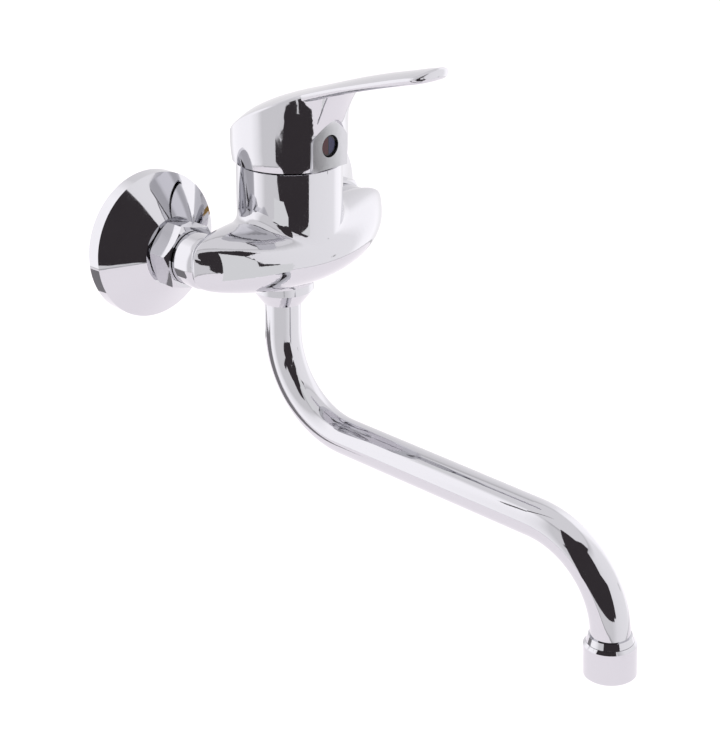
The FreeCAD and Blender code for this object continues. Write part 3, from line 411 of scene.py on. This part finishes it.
def grown_mesh(name, tree, sizes):
    """Plain mesh that a tree makes with those sizes."""
    carrier = bpy.data.objects.new(name + "_carrier", bpy.data.meshes.new(name + "_carrier"))
    bpy.context.scene.collection.objects.link(carrier)
    modifier = carrier.modifiers.new("Grow", "NODES")
    modifier.node_group = tree
    for item in tree.interface.items_tree:
        if item.in_out == "INPUT":
            modifier[item.identifier] = sizes[item.name]
    graph = bpy.context.evaluated_depsgraph_get()
    mesh = bpy.data.meshes.new_from_object(carrier.evaluated_get(graph))
    mesh.name = name
    carrier.modifiers.remove(modifier)
    bpy.data.objects.remove(carrier)
    if not mesh.polygons:
        raise RuntimeError("The tree %s made no faces" % tree.name)
    return mesh


# Defaults of the thread tree's inputs. Each end fades over the run-out, a share of the length
THREAD_SIZES = {
    "Core Radius": 9.3 * MM, "Pitch": 1.8 * MM, "Length": 15.0 * MM, "Tooth Depth": 1.1 * MM,
    "Tooth Foot": 1.6 * MM, "Tooth Crest": 0.3 * MM, "Run Out": 0.03, "Steps per Turn": 40}
# Share of its size that a tooth still has at the very end of its thread
TOOTH_END_SHARE = 0.05


def thread_tree(material):
    """Helical tooth of a screw thread that rises along +Z and fades out at both ends."""
    tree, size, output = tree_with_inputs("screw_thread", THREAD_SIZES)
    turns = add_node(tree, "ShaderNodeMath", {0: size["Length"], 1: size["Pitch"]}, operation="DIVIDE")
    spiral = add_node(tree, "GeometryNodeCurveSpiral", {
        "Resolution": size["Steps per Turn"], "Rotations": turns.outputs[0],
        "Start Radius": size["Core Radius"], "End Radius": size["Core Radius"],
        "Height": size["Length"]})
    upright = add_node(tree, "GeometryNodeSetCurveNormal", {"Curve": spiral.outputs["Curve"]},
                       mode="Z_UP")
    share = add_node(tree, "GeometryNodeSplineParameter")
    rise = add_node(tree, "ShaderNodeMapRange", {
        "Value": share.outputs["Factor"], "From Min": 0.0, "From Max": size["Run Out"],
        "To Min": TOOTH_END_SHARE, "To Max": 1.0})
    end = add_node(tree, "ShaderNodeMath", {0: 1.0, 1: share.outputs["Factor"]}, operation="SUBTRACT")
    fall = add_node(tree, "ShaderNodeMapRange", {
        "Value": end.outputs[0], "From Min": 0.0, "From Max": size["Run Out"],
        "To Min": TOOTH_END_SHARE, "To Max": 1.0})
    fade = add_node(tree, "ShaderNodeMath", {0: rise.outputs["Result"], 1: fall.outputs["Result"]},
                    operation="MULTIPLY")
    faded = add_node(tree, "GeometryNodeSetCurveRadius", {
        "Curve": upright.outputs["Curve"], "Radius": fade.outputs[0]})
    # The profile is centred on the core's circle, so the lower half of it is buried in the core
    tall = add_node(tree, "ShaderNodeMath", {0: size["Tooth Depth"], 1: 2.0}, operation="MULTIPLY")
    tooth = add_node(tree, "GeometryNodeCurvePrimitiveQuadrilateral", {
        "Height": tall.outputs[0], "Bottom Width": size["Tooth Foot"],
        "Top Width": size["Tooth Crest"], "Offset": 0.0}, mode="TRAPEZOID")
    sweep = add_node(tree, "GeometryNodeCurveToMesh", {
        "Curve": faded.outputs["Curve"], "Profile Curve": tooth.outputs["Curve"], "Fill Caps": True})
    realised(tree, sweep.outputs["Mesh"], material, output)
    return tree


def set_back_threads(mesh, axis_x, zones):
    """Draws the plain cylinders of a union in to the roots of their threads. Each zone is a span
    along Y, the radius of the plain cylinder and the radius of the roots."""
    for vertex in mesh.vertices:
        x, y, z = vertex.co
        reach = math.hypot(x - axis_x, z)
        for start, end, outer, root in zones:
            if start <= y <= end and root < reach <= outer + RADIUS_SLACK:
                vertex.co.x = axis_x + (x - axis_x) * root / reach
                vertex.co.z = z * root / reach


def union_piece(side_name, threads, tree, material):
    """Makes a wall union with its real threads, in place of the plain one."""
    node = side_name + "_wall_union"
    low, high = [Vector(corner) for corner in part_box(node)]
    axis_x = (low.x + high.x) / 2
    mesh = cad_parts[node].data.copy()
    whole = bmesh.new()
    whole.from_mesh(mesh)
    bmesh.ops.remove_doubles(whole, verts=whole.verts, dist=MERGE_DISTANCE)
    whole.to_mesh(mesh)
    whole.free()
    wall_root = threads.wall_radius - threads.tooth_depth
    nut_root = threads.nut_radius - threads.tooth_depth
    set_back_threads(mesh, axis_x, (
        (WALL_ROOT_GAP, high.y + PAST_END, threads.wall_radius, wall_root),
        (low.y - PAST_END, FLANGE_FRONT_Y - NUT_ROOT_GAP, threads.nut_radius, nut_root)))
    mesh.materials.clear()
    mesh.materials.append(material)
    parts = bmesh.new()
    parts.from_mesh(mesh)
    wall_thread = (WALL_THREAD_GAPS[0], high.y - WALL_THREAD_GAPS[1], wall_root)
    nut_thread = (low.y + NUT_THREAD_GAPS[0], FLANGE_FRONT_Y - NUT_THREAD_GAPS[1], nut_root)
    for start, end, root in (wall_thread, nut_thread):
        sizes = dict(THREAD_SIZES)
        sizes.update({
            "Core Radius": root, "Pitch": threads.wall_pitch, "Length": end - start,
            "Tooth Depth": threads.tooth_depth, "Tooth Foot": threads.wall_pitch * TOOTH_FOOT_SHARE,
            "Tooth Crest": threads.wall_pitch * TOOTH_CREST_SHARE})
        tooth = grown_mesh(node + "_tooth", tree, sizes)
        place = Matrix.Translation((axis_x, start, 0))
        tooth.transform(place @ Matrix.Rotation(-math.pi / 2, 4, "X"))
        parts.from_mesh(tooth)
        bpy.data.meshes.remove(tooth)
    parts.to_mesh(mesh)
    parts.free()
    mesh.name = side_name + "_threaded_union"
    place_piece(mesh.name, mesh, "mixer_body", [node])


# Sides of a wire's section
WIRE_SIDES = 6
# Defaults of the cloth tree's inputs
CLOTH_SIZES = {
    "Radius": 10.4 * MM, "Wire Pitch": 0.9 * MM, "Wire Radius": 0.14 * MM, "Wave": 0.16 * MM,
    "Points per Pitch": 4}


def cloth_tree(material):
    """Woven strainer disc in the XY plane: two sets of wires that pass over and under each other."""
    tree, size, output = tree_with_inputs("woven_strainer", CLOTH_SIZES)
    wide = add_node(tree, "ShaderNodeMath", {0: size["Radius"], 1: 2.0}, operation="MULTIPLY")
    count = add_node(tree, "ShaderNodeMath", {0: wide.outputs[0], 1: size["Wire Pitch"]},
                     operation="DIVIDE")
    points = add_node(tree, "ShaderNodeMath", {0: count.outputs[0], 1: size["Points per Pitch"]},
                      operation="MULTIPLY")
    left = add_node(tree, "ShaderNodeMath", {0: size["Radius"], 1: -1.0}, operation="MULTIPLY")
    from_left = add_node(tree, "ShaderNodeCombineXYZ", {"X": left.outputs[0]})
    to_right = add_node(tree, "ShaderNodeCombineXYZ", {"X": size["Radius"]})
    line = add_node(tree, "GeometryNodeCurvePrimitiveLine", {
        "Start": from_left.outputs[0], "End": to_right.outputs[0]})
    wire = add_node(tree, "GeometryNodeResampleCurve", {
        "Curve": line.outputs["Curve"], "Count": points.outputs[0]})
    half_count = add_node(tree, "ShaderNodeMath", {0: count.outputs[0], 1: 2.0}, operation="DIVIDE")
    rows = add_node(tree, "ShaderNodeMath", {0: half_count.outputs[0]}, operation="FLOOR")
    row_count = add_node(tree, "ShaderNodeMath", {0: rows.outputs[0], 1: 2.0, 2: 1.0},
                         operation="MULTIPLY_ADD")
    first_y = add_node(tree, "ShaderNodeMath", {0: rows.outputs[0], 1: size["Wire Pitch"]},
                       operation="MULTIPLY")
    start_y = add_node(tree, "ShaderNodeMath", {0: first_y.outputs[0], 1: -1.0}, operation="MULTIPLY")
    start = add_node(tree, "ShaderNodeCombineXYZ", {"Y": start_y.outputs[0]})
    step = add_node(tree, "ShaderNodeCombineXYZ", {"Y": size["Wire Pitch"]})
    stations = add_node(tree, "GeometryNodeMeshLine", {
        "Count": row_count.outputs[0], "Start Location": start.outputs[0], "Offset": step.outputs[0]},
        mode="OFFSET")
    wires = add_node(tree, "GeometryNodeInstanceOnPoints", {
        "Points": stations.outputs["Mesh"], "Instance": wire.outputs["Curve"]})
    laid = add_node(tree, "GeometryNodeRealizeInstances", {"Geometry": wires.outputs["Instances"]})
    place = add_node(tree, "GeometryNodeInputPosition")
    axes = add_node(tree, "ShaderNodeSeparateXYZ", {"Vector": place.outputs["Position"]})
    along = add_node(tree, "ShaderNodeMath", {0: axes.outputs["X"], 1: size["Wire Pitch"]},
                     operation="DIVIDE")
    across = add_node(tree, "ShaderNodeMath", {0: axes.outputs["Y"], 1: size["Wire Pitch"]},
                      operation="DIVIDE")
    phase = add_node(tree, "ShaderNodeMath", {0: along.outputs[0], 1: across.outputs[0]},
                     operation="ADD")
    angle = add_node(tree, "ShaderNodeMath", {0: phase.outputs[0], 1: math.pi}, operation="MULTIPLY")
    wave = add_node(tree, "ShaderNodeMath", {0: angle.outputs[0]}, operation="COSINE")
    lift = add_node(tree, "ShaderNodeMath", {0: wave.outputs[0], 1: size["Wave"]}, operation="MULTIPLY")
    offset = add_node(tree, "ShaderNodeCombineXYZ", {"Z": lift.outputs[0]})
    waved = add_node(tree, "GeometryNodeSetPosition", {
        "Geometry": laid.outputs["Geometry"], "Offset": offset.outputs[0]})
    flat = add_node(tree, "ShaderNodeCombineXYZ", {"X": axes.outputs["X"], "Y": axes.outputs["Y"]})
    reach = add_node(tree, "ShaderNodeVectorMath", {0: flat.outputs[0]}, operation="LENGTH")
    outside = add_node(tree, "ShaderNodeMath", {0: reach.outputs["Value"], 1: size["Radius"]},
                       operation="GREATER_THAN")
    trimmed = add_node(tree, "GeometryNodeDeleteGeometry", {
        "Geometry": waved.outputs["Geometry"], "Selection": outside.outputs[0]}, domain="POINT")
    section = add_node(tree, "GeometryNodeCurvePrimitiveCircle", {
        "Resolution": WIRE_SIDES, "Radius": size["Wire Radius"]})
    warp = add_node(tree, "GeometryNodeCurveToMesh", {
        "Curve": trimmed.outputs["Geometry"], "Profile Curve": section.outputs["Curve"],
        "Fill Caps": True})
    weft_turn = add_node(tree, "GeometryNodeTransform", {
        "Geometry": warp.outputs["Mesh"], "Rotation": (math.pi, 0.0, math.pi / 2)})
    both = add_node(tree, "GeometryNodeJoinGeometry")
    tree.links.new(warp.outputs["Mesh"], both.inputs["Geometry"])
    tree.links.new(weft_turn.outputs["Geometry"], both.inputs["Geometry"])
    realised(tree, both.outputs["Geometry"], material, output)
    return tree


# Studio

# Width of the camera's sensor in millimetres, and the span of distances that it sees
SENSOR_WIDTH = 36.0
CLIP_START = 0.01
CLIP_END = 50.0


def view_axes(studio):
    """Right, up and back directions of the camera."""
    a, e, roll = studio.azimuth, studio.elevation, studio.roll
    back = Vector((math.sin(a) * math.cos(e), -math.cos(a) * math.cos(e), math.sin(e)))
    right = Vector((math.cos(a), math.sin(a), 0))
    up = back.cross(right)
    turn = Matrix.Rotation(roll, 3, back)
    return turn @ right, turn @ up, back


def place_camera(studio):
    """Puts the camera where the photo was taken from."""
    right, up, back = view_axes(studio)
    camera = bpy.data.objects.new("Camera", bpy.data.cameras.new("Camera"))
    bpy.context.scene.collection.objects.link(camera)
    axes = Matrix((right, up, back)).transposed().to_4x4()
    camera.matrix_world = Matrix.Translation(Vector(studio.target) + back * studio.distance) @ axes
    camera.data.lens = studio.lens
    camera.data.sensor_width = SENSOR_WIDTH
    camera.data.clip_start = CLIP_START
    camera.data.clip_end = CLIP_END
    bpy.context.scene.camera = camera


def studio_shine():
    """Material whose light is the colour kept at each point of a studio sheet."""
    material = bpy.data.materials.new("studio_shine")
    material.use_nodes = True
    tree = material.node_tree
    tree.nodes.clear()
    kept = add_node(tree, "ShaderNodeAttribute", attribute_name="shine")
    lit = add_node(tree, "ShaderNodeEmission", {"Color": kept.outputs["Color"], "Strength": 1.0})
    add_node(tree, "ShaderNodeOutputMaterial", {"Surface": lit.outputs["Emission"]})
    return material


def studio_sheet(name, points, faces, material):
    """Makes a flat-faced sheet that belongs to the studio and not to the mixer."""
    mesh = bpy.data.meshes.new(name)
    mesh.from_pydata([tuple(point) for point in points], [], faces)
    mesh.materials.append(material)
    sheet = bpy.data.objects.new(name, mesh)
    bpy.context.scene.collection.objects.link(sheet)
    return sheet


def reflected_sheet(name, points, faces, colours, material):
    """Makes a studio sheet that only reflections see, with a colour for each of its points."""
    sheet = studio_sheet(name, points, faces, material)
    kept = sheet.data.attributes.new("shine", "FLOAT_COLOR", "POINT")
    for i, colour in enumerate(colours):
        kept.data[i].color = opaque(colour)
    sheet.visible_camera = False
    sheet.visible_diffuse = False
    sheet.visible_shadow = False


def upright_card(name, azimuth, distance, shades, outline, material):
    """Makes an upright card square to an azimuth, in one shade or with a shade for each corner."""
    a = math.radians(azimuth)
    away = Vector((math.sin(a), -math.cos(a), 0)) * distance
    aside = Vector((math.cos(a), math.sin(a), 0))
    points = [away + aside * reach + Vector((0, 0, height)) for reach, height in outline]
    colours = [linear(shade) for shade in shades]
    if len(colours) == 1:
        colours *= len(points)
    reflected_sheet(name, points, [tuple(range(len(points)))], colours, material)


# Brightness of the tent's walls by azimuth in degrees, as the lamps outside light them
WALL_GLOW = (
    (-180, 1.45), (-120, 1.42), (-105, 1.2), (-95, 0.9), (-30, 0.9), (-10, 1.1), (10, 1.15),
    (60, 1.2), (72, 1.45), (92, 1.45), (105, 1.15), (130, 0.95), (160, 0.95), (180, 1.45))
# Degrees from each upright row of the wall to the next
WALL_STEP = 5
# Share of that brightness by height: a dimmer seam above the floor, full light, a dimmer rim
WALL_FALL = ((0.0, 0.6), (0.02, 0.6), (0.04, 1.0), (1.6, 1.0), (2.1, 0.65))

# Cards that draw the stripes on the chrome. Each has its azimuth, its distance from the mixer, one
# shade or one for each corner, and its corners as reach aside and height
STUDIO_CARDS = (
    # Wedge on the left escutcheon, and the edges of the stripe on the dome and the housing
    ("far_card", -47.0, 0.35, (CARD_HEX,), (
        (-0.095, -0.062), (0.03, -0.058), (0.03, -0.09), (0.04, -0.106), (0.075, -0.158),
        (0.075, -0.057), (0.114, -0.062), (0.16, -0.07), (0.222, -0.08), (0.285, -0.085),
        (0.285, -0.03), (0.33, -0.03), (0.33, 0), (0.11, 0), (0.42, 0.42), (0.30, 0.42),
        (-0.02, 0.10), (-0.02, -0.025), (-0.095, -0.037))),
    # Middle of the stripe on the housing, and the dark end of the body
    ("near_card", -47.0, 0.15, (CARD_HEX,), (
        (-0.013, 0.003), (0.03, -0.03), (0.138, -0.03), (0.138, 0), (0.08, 0.011), (0.05, 0.024),
        (-0.013, 0.028))),
    # Stripe in the spout's first bend, and the middle of the stripe on the dome of the handle
    ("first_bend_card", -35.0, 0.35, (CARD_HEX,), (
        (-0.06, -0.10), (-0.03, -0.135), (0.20, -0.135), (0.22, -0.03), (0.13, 0.02),
        (-0.05, 0.02))),
    # Stripe in the bend above the outlet. It is edge on to the dome, which then doesn't show it
    ("outlet_bend_card", -102.3, -0.0044, (CARD_HEX,), (
        (0.222, -0.121), (0.24, -0.126), (0.30, -0.135), (0.5, -0.16), (0.5, 0.28), (0.44, 0.22),
        (0.222, -0.03))),
    # White card before the others, which keeps the side of the body light
    ("hull_card", -47.0, 0.088, (WHITE_CARD_HEX,), (
        (0.008, -0.02), (0.08, -0.035), (0.08, -0.0015), (0.034, -0.0015), (0.034, 0.0085),
        (0.026, 0.016), (0.008, 0.016))),
    # Shade that fades across the handle's facet
    ("facet_card", 41.0, 0.55, (CARD_HEX, WHITE_CARD_HEX, WHITE_CARD_HEX, CARD_HEX), (
        (-0.022, -0.118), (0.003, -0.118), (0.001, -0.078), (-0.024, -0.078))),
    # Grey edge of the spout's upright run
    ("back_card", -150.0, 0.6, (GREY_CARD_HEX,), (
        (-0.30, -0.60), (0.20, -0.60), (0.20, -0.31), (-0.30, -0.31))),
)

# Sun above the tent: its strength and the width of its disc, which softens the shadows
LAMP_STRENGTH = 1.0
LAMP_SPREAD = math.radians(60)


def wall_glow(azimuth):
    """Brightness of the walls at an azimuth, between the two nearest rows of the table."""
    for (a, low), (b, high) in zip(WALL_GLOW, WALL_GLOW[1:]):
        if a <= azimuth <= b:
            return low + (high - low) * (azimuth - a) / (b - a)
    raise ValueError("The azimuth %s is outside the table" % azimuth)


def tent_walls(studio, material):
    """Makes the round wall of lit cloth round the mixer."""
    azimuths = range(-180, 180, WALL_STEP)
    points, colours, faces = [], [], []
    for azimuth in azimuths:
        a = math.radians(azimuth)
        for height, share in WALL_FALL:
            points.append((math.sin(a) * studio.wall_distance, -math.cos(a) * studio.wall_distance,
                           studio.floor_height + height))
            colours.append([part * share * wall_glow(azimuth) for part in studio.sky])
    rows, rings = len(WALL_FALL), len(azimuths)
    for i in range(rings):
        for k in range(rows - 1):
            here, there = i * rows + k, (i + 1) % rings * rows + k
            faces.append((here, there, there + 1, here + 1))
    reflected_sheet("tent_walls", points, faces, colours, material)


def floor_lamp():
    """Makes the soft sun from above that whitens the floor and doesn't show in reflections."""
    lamp = bpy.data.lights.new("floor_lamp", "SUN")
    lamp.angle = LAMP_SPREAD
    lamp.energy = LAMP_STRENGTH
    light = bpy.data.objects.new("floor_lamp", lamp)
    bpy.context.scene.collection.objects.link(light)
    light.visible_glossy = False


# Operators

class MIXER_OT_studio(bpy.types.Operator):
    """Set up the camera, the pale floor, the soft light and the cards that chrome reflects"""

    bl_idname = "mixer.studio"
    bl_label = "Studio"
    bl_options = {"REGISTER", "UNDO"}

    def execute(self, context):
        studio = context.scene.mixer_studio
        place_camera(studio)
        context.scene.view_settings.view_transform = "Standard"
        world = bpy.data.worlds.new("light_tent")
        world.use_nodes = True
        backdrop = world.node_tree.nodes["Background"]
        backdrop.inputs["Color"].default_value = opaque(studio.sky)
        backdrop.inputs["Strength"].default_value = studio.sky_strength
        context.scene.world = world
        paper, _, _ = new_finish("matt_floor_paper", studio.floor, metallic=0.0, roughness=0.9)
        reach = studio.floor_reach
        corners = [(x * reach, y * reach, studio.floor_height) for x, y in
                   ((-1, -1), (1, -1), (1, 1), (-1, 1))]
        studio_sheet("floor", corners, [(0, 1, 2, 3)], paper)
        shine = studio_shine()
        tent_walls(studio, shine)
        for card in STUDIO_CARDS:
            upright_card(*card, shine)
        floor_lamp()
        return {"FINISHED"}


class MIXER_OT_chrome(bpy.types.Operator):
    """Plate the body, spout, handle, nuts and escutcheons with polished chrome"""

    bl_idname = "mixer.chrome"
    bl_label = "Chrome plate"
    bl_options = {"REGISTER", "UNDO"}

    def execute(self, context):
        finish_nodes(CHROME_NODES, chrome_plate(context.scene.mixer_finishes))
        return {"FINISHED"}


class MIXER_OT_inner_parts(bpy.types.Operator):
    """Finish the brass, rubber, acetal, ceramic, steel and zinc parts inside the mixer"""

    bl_idname = "mixer.inner_parts"
    bl_label = "Inner parts"
    bl_options = {"REGISTER", "UNDO"}

    def execute(self, context):
        finishes = context.scene.mixer_finishes
        finish_nodes(BRASS_NODES, turned_brass(finishes))
        finish_nodes(RUBBER_NODES, moulded_rubber(finishes))
        finish_nodes(ACETAL_NODES, moulded_acetal(finishes))
        finish_nodes(CERAMIC_NODES, ground_alumina(finishes))
        finish_nodes(STEEL_NODES, drawn_stainless(finishes))
        finish_nodes(STEM_NODES, cast_zinc(finishes))
        return {"FINISHED"}


class MIXER_OT_index_plug(bpy.types.Operator):
    """Print the index plug with a red half for hot and a blue half for cold"""

    bl_idname = "mixer.index_plug"
    bl_label = "Index plug"
    bl_options = {"REGISTER", "UNDO"}

    def execute(self, context):
        low, high = [Vector(corner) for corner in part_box("index_plug")]
        finish_nodes(PLUG_NODES, plug_lacquer(context.scene.mixer_finishes, (low + high) / 2))
        return {"FINISHED"}


class MIXER_OT_wall_unions(bpy.types.Operator):
    """Cut real pipe threads on the two wall unions"""

    bl_idname = "mixer.wall_unions"
    bl_label = "Wall unions"
    bl_options = {"REGISTER", "UNDO"}

    def execute(self, context):
        brass = turned_brass(context.scene.mixer_finishes)
        tree = thread_tree(brass)
        for side_name in ("left", "right"):
            union_piece(side_name, context.scene.mixer_threads, tree, brass)
        return {"FINISHED"}


class MIXER_OT_strainer(bpy.types.Operator):
    """Weave the strainer disc of the aerator"""

    bl_idname = "mixer.strainer"
    bl_label = "Strainer cloth"
    bl_options = {"REGISTER", "UNDO"}

    def execute(self, context):
        threads = context.scene.mixer_threads
        steel = drawn_stainless(context.scene.mixer_finishes)
        sizes = dict(CLOTH_SIZES)
        sizes.update({
            "Wire Pitch": threads.wire_pitch, "Wire Radius": threads.wire / 2,
            "Wave": threads.wire * WAVE_SHARE})
        mesh = grown_mesh("strainer_cloth", cloth_tree(steel), sizes)
        low, high = [Vector(corner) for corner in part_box("aerator_mesh")]
        middle = Matrix.Translation((low + high) / 2)
        mesh.transform(middle @ Matrix.Rotation(CLOTH_TILT, 4, "X"))
        place_piece("strainer_cloth", mesh, "spout", ["aerator_mesh"])
        return {"FINISHED"}


OPERATORS = (
    MIXER_OT_studio, MIXER_OT_chrome, MIXER_OT_inner_parts, MIXER_OT_index_plug,
    MIXER_OT_wall_unions, MIXER_OT_strainer)


class MIXER_PT_panel(bpy.types.Panel):
    """Lists the mixer's settings and the steps that finish it"""

    bl_idname = "MIXER_PT_panel"
    bl_label = "Sink Mixer"
    bl_space_type = "VIEW_3D"
    bl_region_type = "UI"
    bl_category = "Sink Mixer"

    def draw(self, context):
        layout = self.layout
        for group in (context.scene.mixer_finishes, context.scene.mixer_threads,
                      context.scene.mixer_studio):
            box = layout.box()
            for name in group.__annotations__:
                box.prop(group, name)
        for operator in OPERATORS:
            layout.operator(operator.bl_idname)


CLASSES = (MixerFinishes, MixerThreads, MixerStudio) + OPERATORS + (MIXER_PT_panel,)


def register():
    for cls in CLASSES:
        bpy.utils.register_class(cls)
    bpy.types.Scene.mixer_finishes = bpy.props.PointerProperty(type=MixerFinishes)
    bpy.types.Scene.mixer_threads = bpy.props.PointerProperty(type=MixerThreads)
    bpy.types.Scene.mixer_studio = bpy.props.PointerProperty(type=MixerStudio)


def unregister():
    del bpy.types.Scene.mixer_studio
    del bpy.types.Scene.mixer_threads
    del bpy.types.Scene.mixer_finishes
    for cls in reversed(CLASSES):
        bpy.utils.unregister_class(cls)


def main():
    register()
    bpy.ops.mixer.studio()
    bpy.ops.mixer.chrome()
    bpy.ops.mixer.inner_parts()
    bpy.ops.mixer.index_plug()
    bpy.ops.mixer.wall_unions()
    bpy.ops.mixer.strainer()


if __name__ == "__main__":
    main()
